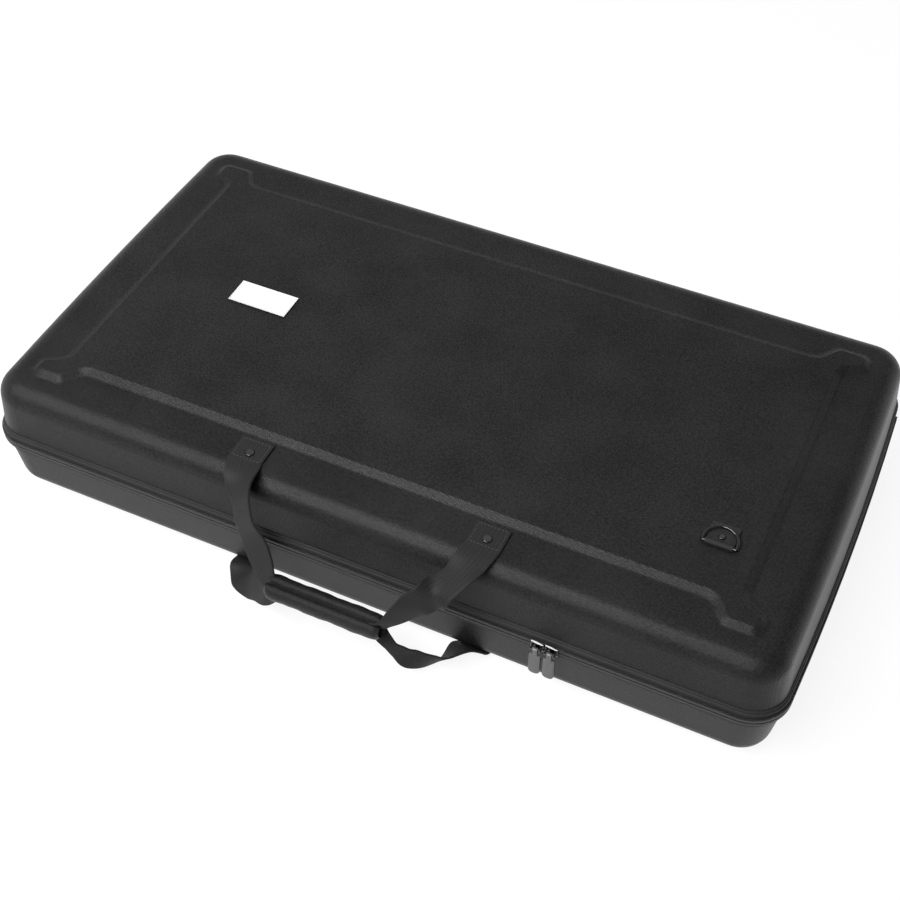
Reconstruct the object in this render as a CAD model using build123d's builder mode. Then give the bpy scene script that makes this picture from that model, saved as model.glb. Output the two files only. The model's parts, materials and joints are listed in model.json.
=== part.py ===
from build123d import *
from math import cos, radians, sin
import os

os.makedirs("parts", exist_ok=True)

# A moulded case for a table-top music controller, lying flat with its lid up.
# X runs along the case, -Y is the handle side, Z is up, and the origin is the middle of the
# underside. All sizes are in millimetres.

# Overall form
case_length = 780.0
case_width = 430.0
case_height = 140.0
corner_radius = 36.0
end_bow = 6.0  # the short ends bulge by this much at the zip
top_bow = 2.0  # and by this much at the lid's top and the base's underside
relief = 5.0  # how far the raised panels stand out of the lid and base
wall = 4.0
parting = 70.5  # height of the zip

# Zip band
band_proud = 2.5  # the band stands this far out of the shells
band_low = 61.0
band_high = 80.0
rim_low = 64.0  # top edge of the base shell
rim_high = 77.0  # bottom edge of the lid shell
straight_rim = 2.5  # upright part of each shell beyond the band
slot = 1.6  # free gap between the two zip tapes
coil_tall = 2.8
coil_deep = 2.0
coil_end_y = 172.0  # the coil runs along the front and the sides, up to here
binding_tall = 2.0
binding_deep = 1.4
hinge_strip_half = 300.0
hinge_strip_deep = 1.2
stop_long = 9.0

# Draft and rounding of the shells
lid_draft = 4.0
base_draft = 6.0
edge_radius = 20.0

# Raised panel, seen from above, as the corner points of one quarter
panel_points = [(307.0, 158.0), (322.0, 179.0), (357.0, 179.0), (357.0, 157.0), (336.0, 145.0)]
panel_slope = 7.0
panel_corner = 11.0
panel_edge_round = 3.5
panel_foot_round = 6.0
panel_reach = (359.5, 181.5)  # the panel lies inside this, and the shell's rounding outside it

# Lining and foam
lining = 1.5
fit_gap = 0.15
foam_floor = 8.0
foam_gap = 2.5
foam_side = 23.0
foam_front = 9.0
foam_high = 60.0
foam_joint = 0.5  # gap between two bars of foam
bay_depth = 20.0  # room behind the divider for cables
divider_thick = 8.0
divider_high = 56.0
lid_foam = 20.0
lip_low = 50.0
lip_high = 74.0
lip_thick = 1.5
lip_gap = 0.1

# Webbing
strap_wide = 32.0
strap_thick = 1.9
tab_thick = 2.2
strap_x = 116.0
tab_front = 189.0
tab_back = 164.0
crease_gap = 0.4
rivet_y = -179.5
rivet_shank = 2.0
rivet_head = 4.5
rivet_dome = 1.4
washer_radius = 6.5
washer_thick = 1.0
washer_room = 1.5  # the foam is cut back by this much round a washer
washer_clear = 0.6
fold_y = -217.0  # where the lower strap turns up off the table
fold_shift = 8.0  # and how far it has drawn inwards by then

# Grip
grip_y = -261.5
grip_z = 75.0
grip_half = 56.0
wrap_deep = 22.0
wrap_tall = 25.0
wrap_corner = 10.0
wrap_lean = 30.0  # degrees that the top of the grip leans away from the case
folded_wide = 16.0
folded_thick = 3.8
lower_strand_y = -254.0
lower_strand_z = 59.6

# Sliders and pulls
slider_places = {"left": 181.5, "right": 194.5}
slider_long = 12.0
slider_half_tall = 5.0
slider_clear = 0.4
slider_plate = 1.5
slider_post = 1.0
slider_post_long = 2.4
slider_post_inset = 1.5
cheek_thick = 1.6
cheek_tall = 2.6
cheek_inset = 1.0
pull_pin = 0.8
pull_pin_out = 3.6  # from the slider's front plate
pull_bore_gap = 0.06
pull_eye = 2.2
pull_neck = 4.6
pull_wide = 10.6
pull_thick = 2.4
pull_top = 7.0
pull_bottom = 33.0
pull_corner = 1.1

# Ring for a shoulder strap, lying back on the lid
ring_x = 296.0
ring_y = -106.0
ring_wire = 1.6
ring_half = 15.0
ring_leg = 3.0
ring_lean = 9.0
ring_running_gap = 0.05
ring_tab_wide = 25.0
ring_tab_end = 24.0
ring_tab_thick = 2.4
ring_rivet_y = -97.0
ring_rivet_head = 3.2

# Label
label_long = 64.0
label_wide = 28.0
label_thick = 0.8
label_corner = 1.5
label_place = (-206.0, -1.0)

# Heights and insets worked out from the sizes above
lid_ledge = case_height - relief
base_ledge = relief
half_length = case_length / 2
half_width = case_width / 2
shell_inset = band_proud
inner_inset = shell_inset + wall
lining_inset = inner_inset + fit_gap
room_inset = lining_inset + lining
lid_straight = band_high + straight_rim
base_straight = band_low - straight_rim
lid_inner = lid_ledge - wall
base_inner = base_ledge + wall
tape_low_top = parting - slot / 2
tape_high_bottom = parting + slot / 2
floor_top = base_inner + lining + foam_floor


def plan(height, inset, bow):
    """Level outline of the case: straight long sides, bowed ends, round corners."""
    x = half_length - inset
    y = half_width - inset
    with BuildSketch(Plane.XY.offset(height)) as outline:
        with BuildLine():
            Line((-x, -y), (x, -y))
            ThreePointArc((x, -y), (x + bow, 0), (x, y))
            Line((x, y), (-x, y))
            ThreePointArc((-x, y), (-x - bow, 0), (-x, -y))
        make_face()
        fillet(outline.vertices(), radius=corner_radius - inset)
    return outline.sketch


def panel_plan(height, grow):
    """Outline of a raised panel, with an ear at each corner."""
    right_back = panel_points
    right_front = [(x, -y) for x, y in reversed(panel_points)]
    left_front = [(-x, -y) for x, y in panel_points]
    left_back = [(-x, y) for x, y in reversed(panel_points)]
    with BuildSketch(Plane.XY.offset(height)) as outline:
        with BuildLine():
            Polyline(*right_back, *right_front, *left_front, *left_back, close=True)
        make_face()
        fillet(outline.vertices(), radius=panel_corner)
        offset(amount=grow)
    return outline.sketch


def raised_panel(level, face):
    """Panel from the ledge out to its face, with the edge of the face rounded."""
    with BuildPart() as body:
        loft(sections=[panel_plan(level, 0), panel_plan(face, -panel_slope)], ruled=True)
        face_end = -1 if face > level else 0
        fillet(body.edges().group_by(Axis.Z)[face_end], radius=panel_edge_round)
    return body.part


def foot_edges(body, level):
    """Edges along which a panel meets the shell it stands on."""
    near = body.edges().filter_by_position(Axis.Z, level - 0.01, level + 0.01)
    near = near.filter_by_position(Axis.X, -panel_reach[0], panel_reach[0])
    return near.filter_by_position(Axis.Y, -panel_reach[1], panel_reach[1])


def half_shell(rim, straight, far, inset, draft, radius):
    """Solid from the rim to the far level, upright near the rim, drafted and rounded beyond."""
    with BuildPart() as body:
        loft(sections=[plan(straight, inset, end_bow), plan(far, inset + draft, top_bow)])
        far_end = -1 if far > straight else 0
        fillet(body.edges().group_by(Axis.Z)[far_end], radius=radius)
        extrude(plan(min(rim, straight), inset, end_bow), amount=abs(straight - rim))
    return body.part


def ring(low, high, inset, thick):
    """Upright ring that follows the band."""
    with BuildPart() as body:
        extrude(plan(low, inset, end_bow), amount=high - low)
        extrude(plan(low, inset + thick, end_bow), amount=high - low, mode=Mode.SUBTRACT)
    return body.part


def export(builder, name):
    builder.part.label = name
    export_step(builder.part, f"parts/{name}.step")


# Holes that the rivets pass through
lid_rivet_places = [(-strap_x, rivet_y), (strap_x, rivet_y)]

# Lid shell
lid_outer = half_shell(rim_high, lid_straight, lid_ledge, shell_inset, lid_draft, edge_radius)
lid_hollow = half_shell(rim_high, lid_straight, lid_inner, inner_inset, lid_draft, edge_radius - wall)
lid_panel = raised_panel(lid_ledge, case_height)
with BuildPart() as lid_shell:
    add(lid_outer)
    add(lid_panel)
    fillet(foot_edges(lid_shell, lid_ledge), radius=panel_foot_round)
    add(lid_hollow, mode=Mode.SUBTRACT)
    with BuildSketch(Plane.XY.offset(lid_inner)) as lid_holes:
        with Locations(*lid_rivet_places, (ring_x, ring_rivet_y)):
            Circle(rivet_shank)
    extrude(amount=case_height, mode=Mode.SUBTRACT)
export(lid_shell, "lid_shell")

# Base shell
base_outer = half_shell(rim_low, base_straight, base_ledge, shell_inset, base_draft, edge_radius)
base_hollow = half_shell(rim_low, base_straight, base_inner, inner_inset, base_draft, edge_radius - wall)
base_panel = raised_panel(base_ledge, 0)
with BuildPart() as base_shell:
    add(base_outer)
    add(base_panel)
    fillet(foot_edges(base_shell, base_ledge), radius=panel_foot_round)
    add(base_hollow, mode=Mode.SUBTRACT)
    with BuildSketch(Plane.XY) as base_holes:
        with Locations(*lid_rivet_places):
            Circle(rivet_shank)
    extrude(amount=base_inner, mode=Mode.SUBTRACT)
export(base_shell, "base_shell")

# Fleece linings bonded inside the shells
lid_lining_outer = half_shell(
    rim_high, lid_straight, lid_inner, lining_inset, lid_draft, edge_radius - wall
)
lid_room = half_shell(
    rim_high, lid_straight, lid_inner - lining, room_inset, lid_draft, edge_radius - wall - lining
)
with BuildPart() as lid_lining:
    add(lid_lining_outer)
    add(lid_room, mode=Mode.SUBTRACT)
    with BuildSketch(Plane.XY.offset(lid_inner - lining)) as lid_lining_holes:
        with Locations(*lid_rivet_places, (ring_x, ring_rivet_y)):
            Circle(rivet_shank)
    extrude(amount=lining, mode=Mode.SUBTRACT)
export(lid_lining, "lid_lining")

base_lining_outer = half_shell(
    rim_low, base_straight, base_inner, lining_inset, base_draft, edge_radius - wall
)
base_room = half_shell(
    rim_low, base_straight, base_inner + lining, room_inset, base_draft, edge_radius - wall - lining
)
with BuildPart() as base_lining:
    add(base_lining_outer)
    add(base_room, mode=Mode.SUBTRACT)
    with BuildSketch(Plane.XY.offset(base_inner)) as base_lining_holes:
        with Locations(*lid_rivet_places):
            Circle(rivet_shank)
    extrude(amount=lining, mode=Mode.SUBTRACT)
export(base_lining, "base_lining")

# Zip tapes, with the slot between them that the sliders run in
upper_tape_ring = ring(tape_high_bottom, band_high, 0, band_proud)
with BuildPart() as upper_zip_tape:
    add(upper_tape_ring)
export(upper_zip_tape, "upper_zip_tape")

lower_tape_ring = ring(band_low, tape_low_top, 0, band_proud)
with BuildPart() as lower_zip_tape:
    add(lower_tape_ring)
export(lower_zip_tape, "lower_zip_tape")


def coil(low):
    """Half of the closed zip, along the front and both sides."""
    with BuildPart() as body:
        extrude(plan(low, -coil_deep, end_bow), amount=coil_tall)
        extrude(plan(low, 0, end_bow), amount=coil_tall, mode=Mode.SUBTRACT)
        split(bisect_by=Plane.XZ.offset(-coil_end_y), keep=Keep.TOP)
    return body.part


upper_coil_half = coil(tape_high_bottom)
with BuildPart() as upper_zip_coil:
    add(upper_coil_half)
export(upper_zip_coil, "upper_zip_coil")

lower_coil_half = coil(tape_low_top - coil_tall)
with BuildPart() as lower_zip_coil:
    add(lower_coil_half)
export(lower_zip_coil, "lower_zip_coil")

# Stops at the two ends of the zip
with BuildPart() as zip_end_stops:
    extrude(plan(band_low, -coil_deep, end_bow), amount=tape_low_top - band_low)
    extrude(plan(band_low, 0, end_bow), amount=tape_low_top - band_low, mode=Mode.SUBTRACT)
    split(bisect_by=Plane.XZ.offset(-coil_end_y), keep=Keep.BOTTOM)
    split(bisect_by=Plane.XZ.offset(-coil_end_y - stop_long), keep=Keep.TOP)
export(zip_end_stops, "zip_end_stops")

# Bindings where the band meets the shells
upper_binding_ring = ring(
    band_high, band_high + binding_tall, shell_inset - binding_deep, binding_deep
)
with BuildPart() as upper_binding:
    add(upper_binding_ring)
export(upper_binding, "upper_binding")

lower_binding_ring = ring(
    band_low - binding_tall, band_low, shell_inset - binding_deep, binding_deep
)
with BuildPart() as lower_binding:
    add(lower_binding_ring)
export(lower_binding, "lower_binding")


def hinge_strip(low, high):
    """Webbing sewn over the band along the back, which the lid bends about."""
    with BuildPart() as body:
        with BuildSketch(Plane.XY.offset(low)):
            with Locations((0, half_width + hinge_strip_deep / 2)):
                Rectangle(2 * hinge_strip_half, hinge_strip_deep)
        extrude(amount=high - low)
    return body.part


upper_strip = hinge_strip(tape_high_bottom, band_high)
with BuildPart() as upper_hinge_strip:
    add(upper_strip)
export(upper_hinge_strip, "upper_hinge_strip")

lower_strip = hinge_strip(band_low, tape_low_top)
with BuildPart() as lower_hinge_strip:
    add(lower_strip)
export(lower_hinge_strip, "lower_hinge_strip")

# Dust flap that stands up inside the zip
flap_ring = ring(lip_low, lip_high, room_inset + lip_gap, lip_thick)
with BuildPart() as dust_flap:
    add(flap_ring)
export(dust_flap, "dust_flap")

# Foam in the base: a floor, four bars round a recess, and a divider for the cable bay
surround_inset = room_inset + lip_gap + lip_thick + foam_gap + base_draft
pocket_x = half_length - surround_inset - foam_side
pocket_front = -(half_width - surround_inset - foam_front)
bay_back = half_width - surround_inset - foam_front
divider_back = bay_back - bay_depth
pocket_back = divider_back - divider_thick

with BuildPart() as floor_foam:
    extrude(plan(base_inner + lining, room_inset + edge_radius, top_bow), amount=foam_floor)
    with BuildSketch(Plane.XY.offset(base_inner + lining)):
        with Locations(*lid_rivet_places):
            Circle(washer_radius + washer_room)
    extrude(amount=washer_thick + washer_clear, mode=Mode.SUBTRACT)
export(floor_foam, "floor_foam")


def foam_bar(low, high):
    """Bar of foam between two corners, its outer side following the wall."""
    with BuildPart() as body:
        extrude(plan(floor_top, surround_inset, top_bow), amount=foam_high - floor_top)
        with BuildSketch(Plane.XY.offset(floor_top)):
            with Locations(((low[0] + high[0]) / 2, (low[1] + high[1]) / 2)):
                Rectangle(high[0] - low[0], high[1] - low[1])
        extrude(amount=foam_high - floor_top, mode=Mode.INTERSECT)
    return body.part


bar_x = pocket_x - foam_joint
left_bar = foam_bar((-half_length, -half_width), (-pocket_x, half_width))
with BuildPart() as foam_bar_left:
    add(left_bar)
export(foam_bar_left, "foam_bar_left")

right_bar = foam_bar((pocket_x, -half_width), (half_length, half_width))
with BuildPart() as foam_bar_right:
    add(right_bar)
export(foam_bar_right, "foam_bar_right")

front_bar = foam_bar((-bar_x, -half_width), (bar_x, pocket_front))
with BuildPart() as foam_bar_front:
    add(front_bar)
export(foam_bar_front, "foam_bar_front")

back_bar = foam_bar((-bar_x, bay_back), (bar_x, half_width))
with BuildPart() as foam_bar_back:
    add(back_bar)
export(foam_bar_back, "foam_bar_back")

with BuildPart() as foam_divider:
    with BuildSketch(Plane.XY.offset(floor_top)):
        with Locations((0, (pocket_back + divider_back) / 2)):
            Rectangle(2 * bar_x, divider_thick)
    extrude(amount=divider_high - floor_top)
export(foam_divider, "foam_divider")

# Foam pad in the lid
lid_foam_top = lid_inner - lining
with BuildPart() as lid_foam_pad:
    extrude(plan(lid_foam_top - lid_foam, room_inset + edge_radius, top_bow), amount=lid_foam)
    with BuildSketch(Plane.XY.offset(lid_foam_top - washer_thick - washer_clear)):
        with Locations(*lid_rivet_places, (ring_x, ring_rivet_y)):
            Circle(washer_radius + washer_room)
    extrude(amount=washer_thick + washer_clear, mode=Mode.SUBTRACT)
export(lid_foam_pad, "lid_foam_pad")


# Webbing tabs of the two carrying straps
def tab_outline(height):
    with BuildSketch(Plane.XY.offset(height)) as outline:
        with Locations((-strap_x, -(tab_front + tab_back) / 2), (strap_x, -(tab_front + tab_back) / 2)):
            Rectangle(strap_wide, tab_front - tab_back)
        with Locations(*lid_rivet_places):
            Circle(rivet_shank, mode=Mode.SUBTRACT)
    return outline.sketch


with BuildPart() as lid_strap_tabs:
    extrude(tab_outline(lid_ledge), amount=tab_thick)
export(lid_strap_tabs, "lid_strap_tabs")

# The lower tabs run on over the table, drawing inwards, up to the fold
run_start = tab_front + 8
with BuildPart() as base_strap_tabs:
    with BuildSketch(Plane.XY.offset(base_ledge - tab_thick)) as lower_tab:
        with BuildLine():
            Polyline(
                (strap_x - strap_wide / 2, -tab_back),
                (strap_x + strap_wide / 2, -tab_back),
                (strap_x + strap_wide / 2, -run_start),
                (strap_x + strap_wide / 2 - fold_shift, fold_y),
                (strap_x - strap_wide / 2 - fold_shift, fold_y),
                (strap_x - strap_wide / 2, -run_start),
                close=True,
            )
        make_face()
        mirror(about=Plane.YZ)
        with Locations(*lid_rivet_places):
            Circle(rivet_shank, mode=Mode.SUBTRACT)
    extrude(amount=tab_thick)
export(base_strap_tabs, "base_strap_tabs")


def section(point, ahead, across, wide, thick):
    """Cross-section of a strap, square to the way it runs."""
    heading = Vector(*ahead).normalized()
    side = Vector(*across)
    side = side - heading * side.dot(heading)
    with BuildSketch(Plane(origin=point, x_dir=side, z_dir=heading)) as face:
        Rectangle(wide, thick)
    return face.sketch


# Moving part of the lid's strap, from the middle of the grip to the crease at the right tab.
# Each row is a point, the direction across the webbing, its width and its thickness.
lean = radians(wrap_lean)
upright = (0, -sin(lean), cos(lean))
lid_strap_route = [
    ((0, grip_y, grip_z), upright, folded_wide, folded_thick),
    ((grip_half, grip_y, grip_z), upright, folded_wide, folded_thick),
    ((68, -258, 84), (0.2, -0.5, 0.9), 24, 2.6),
    ((82, -249, 101), (0.55, -0.45, 0.8), 30, strap_thick),
    ((95, -238, 117.5), (0.85, -0.3, 0.5), strap_wide, strap_thick),
    ((106, -223, 130), (0.97, -0.1, 0.2), strap_wide, strap_thick),
    ((113, -206, 136.1), (1, 0, 0.05), strap_wide, strap_thick),
    ((strap_x, -tab_front - crease_gap, 136.2), (1, 0, 0), strap_wide, strap_thick),
]
# Moving part of the base's strap, from the middle of the grip to the fold on the table
fold_x = strap_x - fold_shift
fold_height = base_ledge - tab_thick / 2
strand_point = (0, lower_strand_y, lower_strand_z)
base_strap_route = [
    (strand_point, (0, 1, 0), folded_wide, folded_thick),
    ((46, lower_strand_y, lower_strand_z), (0, 1, 0), folded_wide, folded_thick),
    ((58, -254, 54), (0.35, 0.8, 0.45), 20, 3.2),
    ((68, -250, 42), (0.7, 0.55, 0.45), 27, 2.4),
    ((77, -244, 29), (0.85, 0.3, 0.5), 31, strap_thick),
    ((90, -236, 18.5), (0.75, 0, 0.66), strap_wide, strap_thick),
    ((102, -227, 13.8), (0.72, -0.2, 0.62), strap_wide, strap_thick),
    ((fold_x, fold_y - crease_gap, fold_height), (1, 0, 0), strap_wide, strap_thick),
]


def strap_loop(route):
    """Strap through the sections of its right half, mirrored to the left."""
    points = [Vector(*row[0]) for row in route]
    faces = []
    for index, (point, across, wide, thick) in enumerate(route):
        if index == 0:
            ahead = Vector(1, 0, 0)
        elif index == len(route) - 1:
            ahead = Vector(0, 1, 0)
        else:
            ahead = points[index + 1] - points[index - 1]
        faces.append(section(point, tuple(ahead), across, wide, thick))
    with BuildPart() as loop:
        loft(sections=faces, ruled=True)
        mirror(about=Plane.YZ)
    return loop.part


lid_loop = strap_loop(lid_strap_route)
with BuildPart() as lid_strap_loop:
    add(lid_loop)
export(lid_strap_loop, "lid_strap_loop")

base_loop = strap_loop(base_strap_route)
with BuildPart() as base_strap_loop:
    add(base_loop)
export(base_strap_loop, "base_strap_loop")

# Padded wrap, sewn round the lid's strap
grip_plane = Plane(origin=(-grip_half, grip_y, grip_z), x_dir=(0, cos(lean), sin(lean)), z_dir=(1, 0, 0))
with BuildPart() as handle_wrap:
    with BuildSketch(grip_plane):
        RectangleRounded(wrap_deep, wrap_tall, wrap_corner)
        Rectangle(folded_thick, folded_wide, mode=Mode.SUBTRACT)
    extrude(amount=2 * grip_half)
export(handle_wrap, "handle_wrap")


# Rivets, each with its head outside and its washer inside
def rivet(builder_plane, head, shank_long):
    """Domed head above the plane and a shank below it."""
    with BuildPart() as body:
        with BuildSketch(builder_plane):
            Circle(head)
        extrude(amount=rivet_dome)
        fillet(body.edges().group_by(SortBy.LENGTH)[-1].sort_by(Axis.Z)[-1], radius=rivet_dome * 0.8)
        with BuildSketch(builder_plane):
            Circle(rivet_shank)
        extrude(amount=-shank_long)
    return body.part


def washers(low, places):
    with BuildPart() as body:
        with BuildSketch(Plane.XY.offset(low)):
            with Locations(*places):
                Circle(washer_radius)
                Circle(rivet_shank, mode=Mode.SUBTRACT)
        extrude(amount=washer_thick)
    return body.part


tab_top = lid_ledge + tab_thick
lid_shank = tab_top - lid_foam_top + washer_thick
lid_rivet_bodies = [rivet(Plane((x, y, tab_top)), rivet_head, lid_shank) for x, y in lid_rivet_places]
with BuildPart() as lid_rivets:
    add(lid_rivet_bodies)
export(lid_rivets, "lid_rivets")

tab_underside = base_ledge - tab_thick
base_shank = base_inner + lining + washer_thick - tab_underside
base_rivet_bodies = [
    rivet(Plane(origin=(x, y, tab_underside), x_dir=(1, 0, 0), z_dir=(0, 0, -1)), rivet_head, base_shank)
    for x, y in lid_rivet_places
]
with BuildPart() as base_rivets:
    add(base_rivet_bodies)
export(base_rivets, "base_rivets")

lid_washer_bodies = washers(lid_foam_top - washer_thick, [*lid_rivet_places, (ring_x, ring_rivet_y)])
with BuildPart() as lid_rivet_washers:
    add(lid_washer_bodies)
export(lid_rivet_washers, "lid_rivet_washers")

base_washer_bodies = washers(base_inner + lining, lid_rivet_places)
with BuildPart() as base_rivet_washers:
    add(base_washer_bodies)
export(base_rivet_washers, "base_rivet_washers")

# Ring and the webbing tab that holds it
bar_radius = ring_wire + ring_running_gap
loop_radius = bar_radius + ring_tab_thick / 2
bar_height = case_height + loop_radius
ring_plane = Plane(origin=(ring_x, ring_y, bar_height)).rotated((ring_lean, 0, 0))
with BuildPart() as d_ring:
    with BuildLine(ring_plane) as ring_path:
        Line((-ring_half, 0), (ring_half, 0))
        Line((ring_half, 0), (ring_half, ring_leg))
        ThreePointArc((ring_half, ring_leg), (0, ring_leg + ring_half), (-ring_half, ring_leg))
        Line((-ring_half, ring_leg), (-ring_half, 0))
    with BuildSketch(Plane(origin=ring_plane.origin, z_dir=(1, 0, 0))):
        Circle(ring_wire)
    sweep(path=ring_path.wire(), transition=Transition.ROUND)
export(d_ring, "d_ring")

with BuildPart() as d_ring_tab:
    with BuildSketch(Plane.YZ.offset(ring_x - ring_tab_wide / 2)):
        with Locations((ring_y + ring_tab_end / 2, case_height + ring_tab_thick / 2)):
            Rectangle(ring_tab_end, ring_tab_thick)
        with Locations((ring_y, bar_height)):
            Circle(loop_radius)
            Circle(bar_radius, mode=Mode.SUBTRACT)
    extrude(amount=ring_tab_wide)
    with BuildSketch(Plane.XY.offset(case_height)):
        with Locations((ring_x, ring_rivet_y)):
            Circle(rivet_shank)
    extrude(amount=ring_tab_thick, mode=Mode.SUBTRACT)
export(d_ring_tab, "d_ring_tab")

ring_tab_top = case_height + ring_tab_thick
ring_shank = ring_tab_top - lid_foam_top + washer_thick
ring_rivet_body = rivet(Plane((ring_x, ring_rivet_y, ring_tab_top)), ring_rivet_head, ring_shank)
with BuildPart() as d_ring_rivet:
    add(ring_rivet_body)
export(d_ring_rivet, "d_ring_rivet")

# Bare woven label
with BuildPart() as label_patch:
    with BuildSketch(Plane.XY.offset(case_height)):
        with Locations(label_place):
            RectangleRounded(label_long, label_wide, label_corner)
    extrude(amount=label_thick)
export(label_patch, "label_patch")

# Zip sliders. The top stays open, so that the lid's half of the zip can lift out.
coil_front = -(half_width + coil_deep)
plate_back = coil_front - slider_clear
plate_front = plate_back - slider_plate
inner_face = -(half_width - band_proud)
back_plate_front = inner_face + slider_clear
back_plate_back = back_plate_front + slider_plate
pin_y = plate_front - pull_pin_out
lower_coil_bottom = tape_low_top - coil_tall
for side, place in slider_places.items():
    slider_start = place - slider_long / 2
    post_x = place + (slider_long / 2 - slider_post_inset) * (1 if side == "left" else -1)
    cheek_starts = (slider_start + cheek_inset, slider_start + slider_long - cheek_inset - cheek_thick)
    with BuildPart() as slider:
        with BuildSketch(Plane.YZ.offset(slider_start)):
            with BuildLine():
                Polyline(
                    (plate_back, parting + slider_half_tall),
                    (plate_front, parting + slider_half_tall - 1),
                    (plate_front, parting - slider_half_tall + 1),
                    (plate_front + 1, parting - slider_half_tall),
                    (-half_width - slider_clear, parting - slider_half_tall),
                    (-half_width - slider_clear, lower_coil_bottom - slider_clear),
                    (plate_back, lower_coil_bottom - slider_clear),
                    close=True,
                )
            make_face()
            with Locations(((back_plate_front + back_plate_back) / 2, parting)):
                Rectangle(slider_plate, 2 * slider_half_tall)
        extrude(amount=slider_long)
        with BuildSketch(Plane.XZ.offset(-back_plate_front)):
            with Locations((post_x, parting)):
                Rectangle(slider_post_long, slider_post)
        extrude(amount=back_plate_front - plate_back)
        with BuildSketch(Plane.YZ.offset(slider_start + cheek_inset)):
            with Locations((pin_y, parting)):
                Circle(pull_pin)
        extrude(amount=slider_long - 2 * cheek_inset)
        for cheek in cheek_starts:
            with BuildSketch(Plane.YZ.offset(cheek)):
                with Locations(((pin_y - pull_pin + plate_front) / 2, parting)):
                    Rectangle(plate_front - pin_y + pull_pin, cheek_tall)
            extrude(amount=cheek_thick)
    export(slider, f"slider_{side}")

    with BuildPart() as pull:
        with BuildSketch(Plane.YZ.offset(place - pull_neck / 2)):
            with Locations((pin_y, parting)):
                Circle(pull_eye)
            with Locations((pin_y, parting - pull_pin - pull_top / 2)):
                Rectangle(pull_thick, pull_top)
            with Locations((pin_y, parting)):
                Circle(pull_pin + pull_bore_gap, mode=Mode.SUBTRACT)
        extrude(amount=pull_neck)
        with BuildSketch(Plane.XY.offset(parting - pull_bottom)):
            with Locations((place, pin_y)):
                RectangleRounded(pull_wide, pull_thick, pull_corner)
        extrude(amount=pull_bottom - pull_top)
    export(pull, f"pull_{side}")
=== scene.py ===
import bpy
import json
from math import atan2, cos, exp, pi, radians, sin, sqrt
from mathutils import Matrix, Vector

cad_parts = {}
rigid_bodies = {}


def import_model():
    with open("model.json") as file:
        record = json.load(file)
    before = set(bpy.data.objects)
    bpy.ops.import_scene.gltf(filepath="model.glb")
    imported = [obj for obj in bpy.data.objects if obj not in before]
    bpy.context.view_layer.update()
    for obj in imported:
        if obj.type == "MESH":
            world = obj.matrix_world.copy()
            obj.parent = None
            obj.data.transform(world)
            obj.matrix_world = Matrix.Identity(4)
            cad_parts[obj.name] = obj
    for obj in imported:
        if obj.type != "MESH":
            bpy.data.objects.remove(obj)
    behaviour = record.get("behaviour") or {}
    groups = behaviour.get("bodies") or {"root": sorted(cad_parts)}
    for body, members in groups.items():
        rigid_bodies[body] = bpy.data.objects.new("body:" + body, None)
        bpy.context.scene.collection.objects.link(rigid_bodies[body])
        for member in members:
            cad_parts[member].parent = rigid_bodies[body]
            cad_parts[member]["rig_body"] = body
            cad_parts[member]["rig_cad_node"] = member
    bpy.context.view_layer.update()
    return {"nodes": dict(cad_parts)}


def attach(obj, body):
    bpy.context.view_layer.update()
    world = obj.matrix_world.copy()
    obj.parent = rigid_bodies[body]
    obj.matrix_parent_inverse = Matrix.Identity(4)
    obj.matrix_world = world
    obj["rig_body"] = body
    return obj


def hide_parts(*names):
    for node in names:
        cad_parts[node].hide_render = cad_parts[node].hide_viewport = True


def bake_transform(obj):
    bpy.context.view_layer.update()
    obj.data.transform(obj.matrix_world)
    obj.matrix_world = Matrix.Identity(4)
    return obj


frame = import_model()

mm = 0.001
meshCare = {"mergeGap": 0.01 * mm, "flatAngle": 1}


def clearSelection():
    if bpy.context.object and bpy.context.object.mode != "OBJECT":
        bpy.ops.object.mode_set(mode="OBJECT")
    bpy.ops.object.select_all(action="DESELECT")


def pick(obj):
    clearSelection()
    obj.hide_set(False)
    obj.select_set(True)
    bpy.context.view_layer.objects.active = obj


def openMesh(obj, action="SELECT"):
    pick(obj)
    bpy.ops.object.mode_set(mode="EDIT")
    bpy.ops.mesh.select_all(action=action)


def closeMesh():
    bpy.ops.object.mode_set(mode="OBJECT")


def named(name):
    obj = bpy.context.object
    obj.name = name
    obj.data.name = name
    return obj


def applyModifier(obj, kind, **values):
    pick(obj)
    modifier = obj.modifiers.new(kind, kind)
    for key, value in values.items():
        setattr(modifier, key, value)
    bpy.ops.object.modifier_apply(modifier=modifier.name)


def roundEdges(obj, width, segments, angle=50):
    # rounds the edges that are sharper than angle, in degrees
    applyModifier(
        obj, "BEVEL", width=width, segments=segments,
        limit_method="ANGLE", angle_limit=radians(angle),
    )


def applyPlace(obj):
    pick(obj)
    bpy.ops.object.transform_apply(location=True, rotation=True, scale=True)


def tidyMesh(obj):
    openMesh(obj)
    bpy.ops.mesh.remove_doubles(threshold=meshCare["mergeGap"])
    bpy.ops.mesh.normals_make_consistent(inside=False)
    closeMesh()


def smooth(obj, angle):
    pick(obj)
    bpy.ops.object.shade_smooth_by_angle(angle=radians(angle))


def dress(obj, material, body=None):
    obj.data.materials.clear()
    obj.data.materials.append(material)
    if body:
        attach(obj, body)


def joined(name, parts):
    clearSelection()
    for part in parts:
        part.select_set(True)
    bpy.context.view_layer.objects.active = parts[0]
    bpy.ops.object.join()
    return named(name)


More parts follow.
